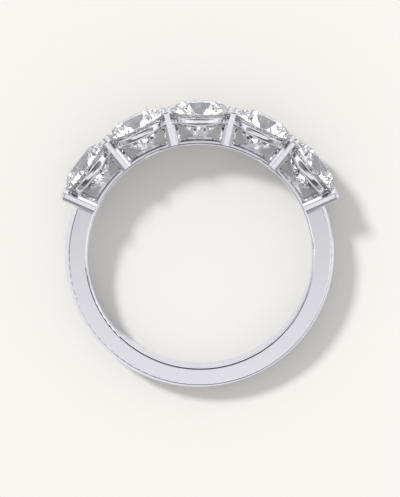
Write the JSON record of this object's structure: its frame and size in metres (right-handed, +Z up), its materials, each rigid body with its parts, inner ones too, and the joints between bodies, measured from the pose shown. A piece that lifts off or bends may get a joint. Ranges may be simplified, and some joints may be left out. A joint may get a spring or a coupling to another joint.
{
  "type": "five stone ring",
  "caption": "Finger ring of polished metal with a row of round brilliant stones held by shared claws over an open gallery, lying on its side.",
  "frame": {"origin": "centre of the finger hole, half way through the band", "axes": "+Z up with the ring on its side, +Y towards the middle stone; the finger hole's axis leans 4.93 degrees from +Z towards -Y, because the heads are wider than the band"},
  "size_m": [0.0204, 0.0213, 0.0051],
  "materials": {
    "polished_metal": "polished",
    "cut_stone": "faceted and polished"
  },
  "bodies": {
    "root": {"band_with_prongs": "polished_metal", "stone_left_outer": "cut_stone", "stone_left_inner": "cut_stone", "stone_centre": "cut_stone", "stone_right_inner": "cut_stone", "stone_right_outer": "cut_stone"}
  },
  "joints": []
}
